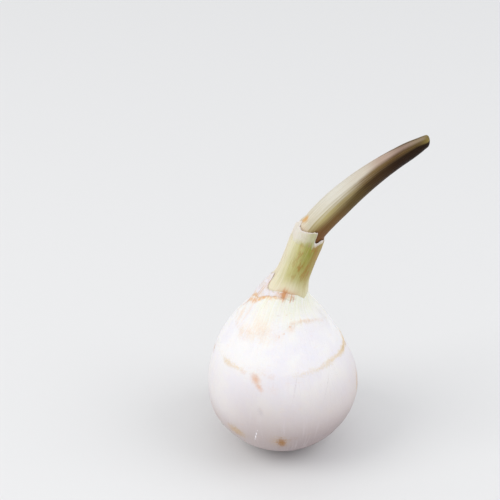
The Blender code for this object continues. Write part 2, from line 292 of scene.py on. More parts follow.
def shoulder_curve():
    t = np.linspace(0.0, 1.0, 600)
    a, b, c, d = (1 - t) ** 3, 3 * (1 - t) ** 2 * t, 3 * (1 - t) * t * t, t ** 3
    height = b * SHOULDER_HANDLE + c * (SHOULDER_LENGTH - NECK_HANDLE) + d * SHOULDER_LENGTH
    return WIDEST_S + height, (a + b) * CORM_RADIUS + (c + d) * STEM_RADIUS


SHOULDER = shoulder_curve()


def outline_radius(s):
    below = np.clip((WIDEST_S - s) / LOWER_DEPTH, 0.0, 1.0)
    lower = CORM_RADIUS * np.maximum(1.0 - below ** LOWER_POWER, 0.0) ** (1.0 / LOWER_POWER)
    return np.where(s < WIDEST_S, lower, np.interp(s, *SHOULDER))


def outline_normal(s):
    """Outward from the outline, as (share outward, share along the spine)."""
    slope = (outline_radius(s + 0.1) - outline_radius(s - 0.1)) / 0.2
    length = np.hypot(1.0, slope)
    return 1.0 / length, -slope / length


def swelling(s, angle):
    """The corm isn't quite round: a share of its radius, fading out at the crown and the rest spot."""
    fade = ease(s, 0.0, 12.0) * (1.0 - ease(s, WIDEST_S + 20.0, CROWN_S - 6.0))
    shift = 0.018 * ease(s, WIDEST_S, WIDEST_S + 16.0) + 0.016 * (1.0 - ease(s, WIDEST_S - 16.0, WIDEST_S))
    height = s - WIDEST_S
    shoulder = FULL_SHOULDER * ease(height, 4.0, 27.0) * (1.0 - ease(height, 26.5, 31.5))
    belly = FULL_BELLY * np.exp(-((height + 9.5) / 5.0) ** 2)
    full = (shoulder + belly) * (0.5 + 0.5 * np.cos(angle - FULL_SIDE)) ** 3
    return fade * (0.011 * np.cos(2 * angle + 0.9) + 0.007 * np.cos(3 * angle - s / 40.0) - 0.004
                   + (0.004 - shift) * np.cos(angle)) + full


def scar_wave(name, angle):
    _, tilt, tilt_to, rise, rise_at = SCARS[name]
    return (tilt * np.cos(angle - tilt_to) + rise * np.cos(2 * (angle - rise_at))
            + 0.25 * np.sin(5 * angle + tilt_to))


def ragged(angle, seed, low, high, count=28):
    """A random curve round the spine, mostly between -1 and 1, with low to high waves a turn."""
    rng = np.random.default_rng(seed)
    total, power = 0.0, 0.0
    for _ in range(count):
        waves, phase = rng.integers(low, high + 1), rng.uniform(0, TURN)
        size = (waves / low) ** -0.6
        total = total + size * np.sin(waves * angle + phase)
        power += size * size / 2
    return total / (2 * math.sqrt(power))


def lumps(s, angle, seed, low, high, length, count=16):
    """Random relief over the skin: low to high waves a turn, and about length millimetres along."""
    rng = np.random.default_rng(seed)
    total = 0.0
    for _ in range(count):
        waves, phase = rng.integers(low, high + 1), rng.uniform(0, TURN)
        along = rng.uniform(-1.0, 1.0) * TURN / length
        total = total + np.sin(waves * angle + along * s + phase)
    return total / math.sqrt(2 * count)


def interpolate(x, table):
    return np.interp(x, [row[0] for row in table], [row[1] for row in table])


def from_table(table, angle):
    return interpolate(np.degrees(angle) % 360, table)


def turn_gap(angle, degrees):
    """How far round each angle is from a direction, between -pi and pi."""
    return (angle - np.radians(degrees) + math.pi) % TURN - math.pi


def grid_mesh(name, points, wrap=True, close_start=False, close_end=False, **values):
    """A mesh through rows of points. Values are rows of numbers or vectors that its material reads."""
    rows, columns = points.shape[:2]
    vertices = [points.reshape(-1, 3) * MM]
    extra = {key: [np.asarray(value, float).reshape(rows * columns, -1)] for key, value in values.items()}
    r = np.arange(rows - 1)[:, None]
    c = np.arange(columns if wrap else columns - 1)[None, :]
    after = (c + 1) % columns
    quads = np.stack([r * columns + c, r * columns + after, (r + 1) * columns + after,
                      (r + 1) * columns + c], axis=-1).reshape(-1, 4)
    faces = [tuple(quad) for quad in quads.tolist()]
    total = rows * columns
    for row, wanted in ((0, close_start), (rows - 1, close_end)):
        if wanted:
            vertices.append(points[row].mean(axis=0)[None] * MM)
            for key, value in values.items():
                extra[key].append(extra[key][0].reshape(rows, columns, -1)[row].mean(axis=0)[None])
            ring = [row * columns + i for i in range(columns)]
            pairs = zip(ring, ring[1:] + ring[:1])
            faces += [(b, a, total) if row == 0 else (a, b, total) for a, b in pairs]
            total += 1
    mesh = bpy.data.meshes.new(name)
    mesh.from_pydata(np.concatenate(vertices).tolist(), [], faces)
    mesh.shade_smooth()
    for key, value in extra.items():
        flat = np.concatenate(value)
        kind = "FLOAT_VECTOR" if flat.shape[1] == 3 else "FLOAT"
        stored = mesh.attributes.new(key, kind, "POINT")
        stored.data.foreach_set("vector" if kind == "FLOAT_VECTOR" else "value", flat.ravel())
    mesh.update()
    obj = bpy.data.objects.new(name, mesh)
    bpy.context.scene.collection.objects.link(obj)
    return obj


def fibre_space(s, angle):
    """Where a point would be on a plain upright tube of 10 mm radius: streaks run along its third axis."""
    return np.stack(np.broadcast_arrays(10 * np.cos(angle), 10 * np.sin(angle), s), axis=-1)


class Skin:
    """A material, with short words for adding its nodes."""

    def __init__(self, name):
        self.material = bpy.data.materials.new(name)
        self.material.use_nodes = True
        self.tree = self.material.node_tree
        self.shader = self.tree.nodes["Principled BSDF"]

    def put(self, socket, value):
        if isinstance(value, bpy.types.NodeSocket):
            self.tree.links.new(value, socket)
        else:
            socket.default_value = value

    def add(self, kind, settings=None, **sockets):
        made = self.tree.nodes.new(kind)
        for key, value in (settings or {}).items():
            setattr(made, key, value)
        for key, value in sockets.items():
            self.put(made.inputs[key.replace("_", " ")], value)
        return made

    def read(self, name):
        return self.add("ShaderNodeAttribute", {"attribute_name": name}).outputs["Fac"]

    def read_vector(self, name):
        return self.add("ShaderNodeAttribute", {"attribute_name": name}).outputs["Vector"]

    def position(self):
        """Where the point is on the object, in millimetres."""
        where = self.add("ShaderNodeTexCoord").outputs["Object"]
        return self.scaled(where, 1000, 1000, 1000)

    def scaled(self, vector, x, y, z):
        made = self.add("ShaderNodeVectorMath", {"operation": "MULTIPLY"})
        self.put(made.inputs[0], vector)
        made.inputs[1].default_value = (x, y, z)
        return made.outputs[0]

    def maths(self, operation, a, b=0.0):
        made = self.add("ShaderNodeMath", {"operation": operation})
        self.put(made.inputs[0], a)
        self.put(made.inputs[1], b)
        return made.outputs[0]

    def facing(self, fibre, degrees):
        """1 on the side at that angle, -1 on the side opposite."""
        made = self.add("ShaderNodeVectorMath", {"operation": "DOT_PRODUCT"})
        self.put(made.inputs[0], fibre)
        a = math.radians(degrees)
        made.inputs[1].default_value = (math.cos(a) / 10, math.sin(a) / 10, 0.0)
        return made.outputs["Value"]

    def noise(self, vector, scale=1.0, detail=4.0, roughness=0.55):
        made = self.add("ShaderNodeTexNoise", Vector=vector, Scale=scale, Detail=detail,
                        Roughness=roughness)
        return made.outputs["Fac"]

    def ramp(self, value, low, high, start=0.0, end=1.0):
        made = self.add("ShaderNodeMapRange", {"interpolation_type": "SMOOTHSTEP"}, Value=value)
        for key, number in (("From Min", low), ("From Max", high), ("To Min", start), ("To Max", end)):
            self.put(made.inputs[key], number)
        return made.outputs["Result"]

    def mix(self, factor, a, b):
        made = self.add("ShaderNodeMix", {"data_type": "RGBA"})
        self.put(made.inputs[0], factor)
        self.put(made.inputs[6], a)
        self.put(made.inputs[7], b)
        return made.outputs[2]

    def broken(self, mask, noise, amount=0.8, low=0.35, high=0.75):
        """A soft mask with its edge broken up by noise."""
        moved = self.maths("MULTIPLY", self.maths("SUBTRACT", noise, 0.5), amount)
        return self.ramp(self.maths("ADD", mask, moved), low, high)

    def bump(self, height, depth, normal=None, strength=1.0):
        made = self.add("ShaderNodeBump", Height=height, Distance=depth * MM, Strength=strength)
        if normal is not None:
            self.put(made.inputs["Normal"], normal)
        return made.outputs["Normal"]

    def finish(self, colour, roughness, normal=None, glow=0.0, reach=1.0):
        """Sets the shader. Glow is the share of light that travels inside the flesh, reach how far."""
        self.put(self.shader.inputs["Base Color"], colour)
        self.put(self.shader.inputs["Roughness"], roughness)
        if normal is not None:
            self.put(self.shader.inputs["Normal"], normal)
        if glow:
            self.shader.inputs["Subsurface Weight"].default_value = glow
            self.shader.inputs["Subsurface Radius"].default_value = (1.0, 0.85, 0.65)
            self.shader.inputs["Subsurface Scale"].default_value = reach * MM
        return self.material


# The corm

def corm_rows():
    """Rows along the spine, closer together at each ring scar."""
    rows = list(np.arange(0.0, CROWN_S + 0.4, CORM_STEP))
    for name in SCARS:
        middle = WIDEST_S + SCARS[name][0]
        rows = [s for s in rows if abs(s - middle) > SCAR_ROWS + 0.1]
        rows += list(np.arange(middle - SCAR_ROWS, middle + SCAR_ROWS + 0.01, SCAR_STEP))
    return np.array(sorted(rows))[:, None]


def stains_at(height, angle, radius):
    """How strong each kind of stain is at every point of a skin."""
    found = {}
    for kind in sorted(STAINS):
        found[kind] = np.zeros(height.shape)
        for at, degrees, half_width, half_length, slant, strength in STAINS[kind]:
            along = height - at
            around = turn_gap(angle, degrees) * radius + slant * along
            away = (around / half_width) ** 2 + (along / half_length) ** 2
            found[kind] = np.maximum(found[kind], strength * np.exp(-0.5 * away))
    below_scale = height - (CROWN_S - WIDEST_S) - from_table(SCALE_FOOT, angle)
    trace = from_table(SCALE_TRACE, angle) * (0.75 + 0.25 * ragged(angle, 61, 10, 60))
    found["frayed"] = np.maximum(trace, 0.0) * np.exp(-((below_scale + 0.35) / 0.85) ** 2)
    found["strand"] = np.zeros(height.shape)
    for low, degrees, strength in ORANGE_FIBRES:
        around = turn_gap(angle, degrees) * radius
        run = ease(height, low - 0.3, low + 0.6) * (1.0 - ease(height, FIBRE_END - 2.0, FIBRE_END))
        found["strand"] = np.maximum(found["strand"], strength * run * np.exp(-(around / 0.20) ** 2))
    return found


def make_corm():
    angle = np.linspace(0.0, TURN, CORM_SIDES, endpoint=False)[None, :]
    row = corm_rows()
    s = row + 0.0 * angle
    near = {}
    for name in SCARS:
        away = row - (WIDEST_S + SCARS[name][0])
        near[name] = away
        s = s + scar_wave(name, angle) * np.exp(-(away / SCAR_REACH) ** 2)
    s = s + from_table(STEM_FOOT, angle) * ease(row, CROWN_S - 8.0, CROWN_S)
    s = np.maximum(s, 0.0)
    relief = 0.0 * s - SKIN_INSET
    for name, away in near.items():
        show = from_table(SCAR_SHOWS[name], angle)
        fray = 0.55 + 0.45 * ragged(angle, 11 + len(name), 30, 150)
        relief = relief + SCAR_SWELL[name] * (0.5 + 0.5 * show) * np.exp(-(away / SWELL_WIDTH) ** 2)
        relief = relief + SCAR_LIP[name] * show * fray * np.exp(-((away - LIP_AT) / LIP_WIDTH) ** 2)
    relief = relief - CROWN_TUCK * ease(row, CROWN_S - 0.1, CROWN_S + 0.4)
    body = ease(s, 3.0, 14.0) * (1.0 - ease(s, CROWN_S - 10.0, CROWN_S - 2.0))
    slow, quick = lumps(s, angle, 5, 3, 9, 22.0), lumps(s, angle, 6, 14, 40, 30.0)
    relief = relief + body * (SLOW_LUMPS * slow + QUICK_LUMPS * quick)
    outward, up = outline_normal(s)
    radius = outline_radius(s) * (1.0 + swelling(s, angle)) + relief * outward
    points = place(s, angle, radius, relief * up)
    points[0, :, 2] = 0.0
    height = s - WIDEST_S
    values = stains_at(height, angle, np.maximum(radius, 1.0))
    for name, away in near.items():
        show = from_table(SCAR_SHOWS[name], angle)
        width = 1.15 + 0.30 * ragged(angle, 31 + len(name), 10, 60)
        wander = 0.25 * ragged(angle, 71 + len(name), 8, 40)
        values["scar_" + name] = show * np.exp(-((away - wander) / width) ** 2)
    past_border = turn_gap(angle, CROWN_BORDER)
    crown_sides = 0.35 + 0.65 * ease(past_border, -0.12, 0.10)
    crown_sides = np.where(past_border < -1.4, 1.0, crown_sides)
    values["crown"] = ease(near["high"] + 1.2 * ragged(angle, 77, 5, 40), -5.0, 5.0) * crown_sides
    values["height"] = height
    values["fibre"] = fibre_space(s, angle)
    under, under_values = rest_spot(points[0], angle, values)
    points = np.concatenate([under, points])
    values = {key: np.concatenate([under_values[key], values[key]]) for key in values}
    return grid_mesh("corm_skin", points, close_start=True, **values)


def rest_spot(rim, angle, values):
    """The trimmed scar of the runner under the corm, from its middle out to the rim that it stands on."""
    share = np.array([0.03, 0.12, 0.24, 0.36, 0.48, 0.60, 0.70, 0.78, 0.84, 0.90, 0.95])[:, None, None]
    under = rim[None] * share
    hollow = REST_HOLLOW * (1.0 - ease(share[..., 0], 0.62, 0.88))
    under[..., 2] = hollow + REST_RIPPLE * np.sin(share[..., 0] * 60)
    under[..., 2] *= 1.0 - ease(share[..., 0], 0.8, 0.9)
    found = {}
    for key, value in values.items():
        found[key] = np.repeat(value[:1], share.shape[0], axis=0)
    found["fibre"] = found["fibre"] * np.array([1.0, 1.0, 0.0]) * share
    found["ochre"] = 0.75 * (1.0 - ease(share[..., 0], 0.8, 1.0)) + 0.0 * angle
    found["brown"] = 0.8 * np.exp(-((share[..., 0] - 0.8) / 0.08) ** 2) + 0.0 * angle
    return under, found


def corm_finish():
    skin = Skin("corm_skin")
    fibre, where = skin.read_vector("fibre"), skin.position()
    height = skin.read("height")
    mottle = skin.noise(where, 0.11, 3.0)
    grain = skin.noise(where, 1.6, 5.0, 0.6)
    streak = skin.noise(skin.scaled(fibre, 2.6, 2.6, 0.07), 1.0, 4.0)
    thin = skin.noise(skin.scaled(fibre, 7.0, 7.0, 0.12), 1.0, 3.0)
    broad = skin.noise(skin.scaled(fibre, 0.6, 0.6, 0.05), 1.0, 3.0)

    colour = skin.mix(skin.ramp(mottle, 0.35, 0.65), srgb(244, 242, 241), srgb(239, 236, 241))
    # Painted shade: the skin darkens towards the bottom, less on the left side where the light falls, and
    # most on the lower right.
    left = skin.ramp(skin.facing(fibre, 182), 0.40, 1.0)
    left = skin.maths("MULTIPLY", left, skin.ramp(height, -9.0, 1.0, 0.0, 0.55))
    low = skin.maths("MULTIPLY", skin.ramp(height, 23.0, -10.0), skin.maths("SUBTRACT", 1.0, left))
    colour = skin.mix(low, colour, srgb(197, 184, 182))
    shaded = skin.ramp(skin.facing(fibre, 318), 0.1, 1.0)
    shaded = skin.maths("MULTIPLY", skin.ramp(height, 2.0, -13.0), shaded)
    colour = skin.mix(shaded, colour, srgb(168, 153, 154))
    streaks = skin.ramp(streak, 0.52, 0.76)
    streaks = skin.maths("MULTIPLY", streaks, skin.ramp(height, 26.0, 2.0, 0.05, 0.32))
    colour = skin.mix(streaks, colour, srgb(221, 214, 218))
    lines = skin.maths("MULTIPLY", skin.ramp(thin, 0.62, 0.72), skin.ramp(mottle, 0.4, 0.6, 0.03, 0.14))
    colour = skin.mix(lines, colour, srgb(208, 200, 202))

    fibres = skin.ramp(streak, 0.36, 0.64)
    crown = skin.maths("MULTIPLY", skin.read("crown"), skin.ramp(broad, 0.30, 0.62, 0.45, 1.0))
    crown = skin.maths("MULTIPLY", crown, skin.maths("ADD", skin.maths("MULTIPLY", fibres, 0.3), 0.7))
    colour = skin.mix(crown, colour, srgb(245, 244, 233))
    green = skin.maths("MULTIPLY", skin.ramp(height, 29.0, 40.0), fibres)
    colour = skin.mix(skin.maths("MULTIPLY", green, 0.5), colour, srgb(222, 225, 184))

    streaky = skin.mix(0.5, grain, streak)
    torn = skin.noise(skin.scaled(fibre, 0.45, 0.45, 1.1), 1.0, 5.0, 0.65)
    for name, noise, amount, tint, low_edge, high_edge in (
        ("pink", streaky, 1.1, srgb(238, 213, 190), 0.10, 1.0),
        ("scar_high", streaky, 1.1, srgb(228, 200, 172), 0.15, 1.1),
        ("scar_low", grain, 1.2, srgb(205, 184, 154), 0.25, 1.2),
        ("scar_mid", grain, 0.9, srgb(226, 200, 152), 0.12, 1.1),
        ("ochre", grain, 0.9, srgb(198, 166, 118), 0.15, 1.0),
        ("rust", grain, 0.5, srgb(224, 178, 146), 0.08, 1.0),
        ("grey", grain, 0.6, srgb(194, 184, 186), 0.10, 0.9),
        ("fleck", grain, 0.6, srgb(220, 172, 130), 0.10, 0.8),
        ("brown", grain, 0.9, srgb(164, 118, 68), 0.20, 0.95),
        ("white", grain, 0.5, srgb(250, 247, 252), 0.25, 0.60),
        ("frayed", torn, 1.35, srgb(234, 184, 130), 0.10, 0.95),
        ("orange", streaky, 1.2, srgb(*ORANGE), 0.10, 0.90),
        ("strand", grain, 0.6, srgb(*STRAND), 0.10, 0.80),
    ):
        colour = skin.mix(skin.broken(skin.read(name), noise, amount, low_edge, high_edge), colour, tint)

    rough = skin.ramp(grain, 0.3, 0.7, 0.36, 0.52)
    relief = skin.bump(thin, 0.10)
    relief = skin.bump(grain, 0.10, relief)
    scars = skin.maths("MAXIMUM", skin.read("scar_mid"), skin.read("scar_high"))
    relief = skin.bump(skin.maths("MULTIPLY", scars, grain), 0.15, relief)
    return skin.finish(colour, rough, relief, glow=0.25, reach=1.1)


# The stem

def stem_radius(s):
    waist = STEM_WAIST * np.exp(-((s - (CROWN_S + NODE_S) / 2) / 6.0) ** 2)
    return outline_radius(s) - waist


def make_stem():
    angle = np.linspace(0.0, TURN, STEM_SIDES, endpoint=False)[None, :]
    foot_rows = [-0.30, -0.12, 0.0, 0.12, 0.3, 0.5]
    row = np.concatenate([foot_rows, np.arange(0.7, NODE_S - CROWN_S + 0.9, 0.2)])[:, None]
    foot = from_table(STEM_FOOT, angle) + 0.14 * ragged(angle, 3, 14, 60)
    s = CROWN_S + row + foot * (1.0 - ease(row, 0.5, 8.0))
    ribs = STEM_RIB * ragged(angle, 8, 16, 44) * ease(row, 0.3, 3.0)
    lip = -0.14 * (1.0 - ease(row, -0.3, 0.6))
    radius = stem_radius(s) - SKIN_INSET + ribs + lip + 0.03 * lumps(s, angle, 9, 2, 7, 12.0)
    top = NODE_S - CROWN_S
    radius = radius - STEM_TUCK * ease(row, top - 3.0, top - 1.0) - 1.3 * ease(row, top - 0.2, top + 0.8)
    found = stains_at(s - WIDEST_S, angle, radius)
    return grid_mesh("stem_skin", place_on_stem(s, angle, radius), close_start=True, close_end=True,
                     height=row + 0.0 * angle, fibre=fibre_space(s, angle), orange=found["orange"],
                     strand=found["strand"], pink=found["pink"])


def stem_colour(skin, fibre, height):
    """Cream on the left, mottled green in front, brown on the right. The sheath starts from it too."""
    streak = skin.noise(skin.scaled(fibre, 0.7, 0.7, 0.10), 1.0, 4.0)
    fine = skin.noise(skin.scaled(fibre, 2.6, 2.6, 0.16), 1.0, 4.0)
    blotch = skin.noise(skin.scaled(fibre, 0.42, 0.42, 0.24), 1.0, 4.0, 0.6)
    wander = skin.maths("MULTIPLY", skin.maths("SUBTRACT", streak, 0.5), 0.7)
    light = skin.ramp(skin.maths("ADD", skin.facing(fibre, 288), wander), 0.10, 0.85)
    olive = skin.ramp(skin.maths("ADD", skin.facing(fibre, 304), wander), 0.40, 1.15)
    edge = skin.ramp(skin.maths("ADD", skin.facing(fibre, 330), wander), 0.62, 1.05)
    colour = skin.mix(skin.ramp(fine, 0.3, 0.7), srgb(228, 222, 194), srgb(220, 213, 180))
    rim = skin.ramp(skin.facing(fibre, 165), 0.70, 1.0, 0.0, 0.5)
    colour = skin.mix(rim, colour, srgb(222, 206, 180))
    light = skin.maths("MULTIPLY", light, skin.ramp(height, -0.5, 8.0, 0.25, 0.9))
    colour = skin.mix(light, colour, srgb(194, 188, 120))
    olive = skin.maths("MULTIPLY", olive, skin.ramp(height, 1.0, 11.0))
    colour = skin.mix(olive, colour, srgb(156, 148, 64))
    ripe = skin.ramp(skin.facing(fibre, 300), 0.72, 0.98)
    ripe = skin.maths("MULTIPLY", skin.ramp(height, 9.0, 16.0), ripe)
    ripe = skin.maths("MULTIPLY", ripe, skin.ramp(streak, 0.3, 0.6, 0.2, 0.8))
    colour = skin.mix(ripe, colour, srgb(146, 150, 56))
    mottle = skin.ramp(skin.facing(fibre, 308), 0.2, 0.8)
    mottle = skin.maths("MULTIPLY", skin.ramp(blotch, 0.50, 0.60), mottle)
    mottle = skin.maths("MULTIPLY", mottle, skin.ramp(height, 2.0, 10.0, 0.1, 0.75))
    colour = skin.mix(mottle, colour, srgb(164, 122, 52))
    edge = skin.maths("MULTIPLY", edge, skin.ramp(height, 1.0, 14.0, 0.1, 0.65))
    colour = skin.mix(edge, colour, srgb(160, 120, 58))
    foot = skin.maths("ADD", height, skin.maths("MULTIPLY", skin.maths("SUBTRACT", streak, 0.5), 4.0))
    left = skin.ramp(skin.facing(fibre, 316), 0.97, 0.72)
    foot = skin.maths("MULTIPLY", skin.ramp(foot, 5.5, -0.4), left)
    colour = skin.mix(skin.maths("MULTIPLY", foot, 0.75), colour, srgb(231, 221, 197))
    warm = skin.ramp(skin.facing(fibre, 268), 0.72, 0.97)
    warm = skin.maths("MULTIPLY", skin.ramp(height, 2.6, 0.0), warm)
    colour = skin.mix(skin.maths("MULTIPLY", warm, 0.55), colour, srgb(206, 176, 138))
    lines = skin.ramp(fine, 0.54, 0.68)
    lines = skin.maths("MULTIPLY", lines, skin.ramp(height, 0.5, 9.0, 0.05, 0.30))
    colour = skin.mix(lines, colour, srgb(144, 128, 62))
    return skin.mix(skin.ramp(fine, 0.44, 0.30, 0.0, 0.25), colour, srgb(226, 218, 166)), fine


def neck_marks(skin, colour, fine):
    """The stains that reach up from the corm over the stem's foot and the scale."""
    for name, amount, low, high, tint in (
        ("pink", 1.1, 0.12, 1.0, NECK_PINK), ("strand", 0.6, 0.10, 0.80, STRAND),
        ("orange", 1.2, 0.10, 0.90, ORANGE),
    ):
        colour = skin.mix(skin.broken(skin.read(name), fine, amount, low, high), colour, srgb(*tint))
    return colour


def stem_finish():
    skin = Skin("stem_skin")
    fibre, height = skin.read_vector("fibre"), skin.read("height")
    colour, fine = stem_colour(skin, fibre, height)
    colour = neck_marks(skin, colour, fine)
    relief = skin.bump(fine, 0.10)
    skin.shader.inputs["Specular IOR Level"].default_value = 0.3
    return skin.finish(colour, skin.ramp(fine, 0.3, 0.7, 0.36, 0.5), relief, glow=0.2, reach=1.0)


# The bud spear

def spear_radius(s):
    u = spread(s, NODE_S, NODE_S + SPEAR_LENGTH)
    body = SPEAR_RADIUS * (1.0 - FOOT_WAIST * (1.0 - ease(u, 0.0, FOOT_END)))
    body = body * (1.0 - TAPER * spread(u, TAPER_START, 1.0) ** TAPER_POWER)
    body = body * (1.0 - TIP_TAPER * spread(u, TIP_START, 1.0) ** 1.5)
    past = spread(s, NODE_S + SPEAR_LENGTH - TIP_ROUND, NODE_S + SPEAR_LENGTH)
    return body * np.sqrt(np.maximum(1.0 - past ** 2.4, 0.0))


def spear_bands(u, angle):
    """Where the spear is pale along its back, and dark underneath, from 0 to 1: the dark underside is
    partly its own brown and partly painted shade.
    """
    pale_end = interpolate(u, ((0.0, 236), (0.35, 240), (0.5, 237), (0.65, 222), (0.8, 216), (1.0, 220)))
    pale_soft = np.radians(interpolate(u, ((0.0, 32), (0.5, 25), (1.0, 18))))
    pale = 1.0 - ease(turn_gap(angle, pale_end), -pale_soft, pale_soft)
    pale = pale * ease(turn_gap(angle, 120.0 + 60.0 * ease(u, 0.5, 0.85)), -0.35, 0.3)
    dark_start = interpolate(
        u, ((0.0, 258), (0.2, 270), (0.35, 270), (0.5, 261), (0.65, 250), (0.92, 244), (1.0, 262)))
    dark_soft = np.radians(interpolate(u, ((0.0, 30), (0.35, 30), (0.65, 20), (1.0, 12))))
    dark_half = np.radians(DARK_MIDDLE - dark_start)
    dark = 1.0 - ease(np.abs(turn_gap(angle, DARK_MIDDLE)) - dark_half, -dark_soft, dark_soft)
    return pale, dark


def make_spear():
    angle = np.linspace(0.0, TURN, SPEAR_SIDES, endpoint=False)[None, :]
    end = NODE_S + SPEAR_LENGTH
    last = end - TIP_ROUND * np.array([0.85, 0.7, 0.55, 0.42, 0.3, 0.2, 0.12, 0.06, 0.02, 0.003])
    s = np.concatenate([np.arange(NODE_S - 0.8, end - TIP_ROUND, 0.25), last])[:, None]
    u = spread(s, NODE_S, end)
    corner = np.cos(3 * (angle - KEEL_ANGLE))
    crisp = 2.0 * ((1.0 + corner) / 2.0) ** (1.0 + 1.6 * ease(u, 0.4, 0.9)) - 1.0
    whole = 1.0 - ease(u, 0.93, 1.0)
    radius = spear_radius(s) * (1.0 + KEEL_SHARE * ease(u, 0.1, 0.6) * crisp)
    radius = radius + SPEAR_LINE * ragged(angle, 21, 18, 48) * whole
    radius = radius - 0.04 * ease(u, 0.85, 0.95) + SPEAR_LINE * lumps(s, angle, 22, 1, 5, 26.0) * whole
    foot = 1.0 - ease(s, NODE_S + 0.5, NODE_S + 4.0)
    radius = radius + FOOT_SWELL * foot * (0.5 + 0.5 * np.cos(turn_gap(angle, FOOT_SWELL_AT)))
    low_back = 1.0 - ease(s, NODE_S + 2.4, NODE_S + 5.4)
    radius = radius + FOOT_BULGE * low_back * (0.5 + 0.5 * np.cos(turn_gap(angle, FOOT_BULGE_AT))) ** 2
    radius = np.maximum(radius, 0.02)
    slant = TIP_SLANT * ease(s, end - TIP_SLANT_LENGTH, end - TIP_ROUND)
    shift = FOOT_SHIFT * (1.0 - ease(u, 0.0, FOOT_END))
    lean = lean_at(s)
    across = np.stack([np.cos(lean), 0.0 * lean, -np.sin(lean)], axis=-1)
    points = place(s, angle, radius, -slant * radius * np.cos(angle)) + across * shift[..., None]
    pale, dark = spear_bands(u, angle)
    patch = np.exp(-((s - NODE_S - 4.8) / 1.6) ** 2 - (turn_gap(angle, 192) / 0.28) ** 2)
    return grid_mesh("bud_skin", points, close_start=True, close_end=True, share=u + 0.0 * angle,
                     pale=pale, dark=dark, patch=patch, fibre=fibre_space(s, angle))


def spear_finish():
    skin = Skin("bud_skin")
    fibre, u = skin.read_vector("fibre"), skin.read("share")
    streak = skin.noise(skin.scaled(fibre, 0.9, 0.9, 0.035), 1.0, 4.0)
    fine = skin.noise(skin.scaled(fibre, 1.5, 1.5, 0.03), 1.0, 5.0, 0.65)

    def along(colours):
        """One colour after another from the foot to the tip: (share, colour) pairs."""
        mixed = colours[0][1]
        for (start, _), (end, colour) in zip(colours, colours[1:]):
            mixed = skin.mix(skin.ramp(u, start, end), mixed, colour)
        return mixed

    middle = along(((0.0, srgb(158, 138, 82)), (0.2, srgb(180, 166, 114)), (0.4, srgb(156, 140, 98)),
                    (0.55, srgb(116, 93, 56)), (0.8, srgb(86, 63, 36)), (0.93, srgb(84, 66, 34)),
                    (1.0, srgb(128, 112, 54))))
    pale = along(((0.0, srgb(212, 203, 180)), (0.35, srgb(217, 213, 201)), (0.55, srgb(206, 197, 182)),
                  (0.7, srgb(180, 158, 144)), (0.85, srgb(146, 124, 113)), (0.95, srgb(138, 122, 100)),
                  (1.0, srgb(112, 96, 46))))
    # The underside's browns: partly the spear's own colour, and darkened further as painted shade.
    dark = along(((0.0, srgb(126, 82, 48)), (0.2, srgb(114, 84, 46)), (0.4, srgb(92, 74, 38)),
                  (0.6, srgb(64, 44, 22)), (0.8, srgb(40, 24, 12)), (1.0, srgb(36, 22, 10))))
    colour = skin.mix(skin.broken(skin.read("pale"), streak, 1.1, 0.03, 0.97), middle, pale)
    colour = skin.mix(skin.broken(skin.read("dark"), streak, 0.7, 0.1, 0.9), colour, dark)
    shade = skin.mix(skin.read("dark"), srgb(150, 132, 84), srgb(34, 22, 10))
    colour = skin.mix(skin.maths("MULTIPLY", skin.ramp(fine, 0.50, 0.66), 0.38), colour, shade)
    gleam = skin.mix(skin.read("dark"), srgb(234, 228, 208), srgb(116, 94, 46))
    tip_gleam = skin.mix(skin.read("dark"), srgb(176, 154, 126), srgb(74, 54, 28))
    gleam = skin.mix(skin.ramp(u, 0.45, 0.75), gleam, tip_gleam)
    colour = skin.mix(skin.maths("MULTIPLY", skin.ramp(fine, 0.48, 0.34), 0.30), colour, gleam)
    foot = skin.maths("MULTIPLY", skin.ramp(u, 0.09, 0.02), skin.ramp(skin.facing(fibre, 200), 0.3, 0.9))
    colour = skin.mix(skin.maths("MULTIPLY", foot, 0.7), colour, srgb(228, 200, 174))
    colour = skin.mix(skin.broken(skin.read("patch"), fine, 0.9, 0.2, 0.9), colour, srgb(212, 170, 116))
    relief = skin.bump(fine, 0.14)
    skin.shader.inputs["Specular IOR Level"].default_value = 0.08
    return skin.finish(colour, skin.ramp(fine, 0.3, 0.7, 0.36, 0.52), relief, glow=0.05, reach=0.8)


# The papery pieces

def paper_mesh(name, inside, outside, rise, to_edge, angle, s, wrap, **more):
    """A thin sheet with two sides. It is open under its foot, which lies on the skin."""
    points = np.concatenate([inside, outside[::-1]])
    values = {"rise": rise, "to_edge": to_edge, "fibre": fibre_space(s, angle), **more}
    both = {key: np.concatenate([value, value[::-1]]) for key, value in values.items()}
    return grid_mesh(name, points, wrap=wrap, **both)


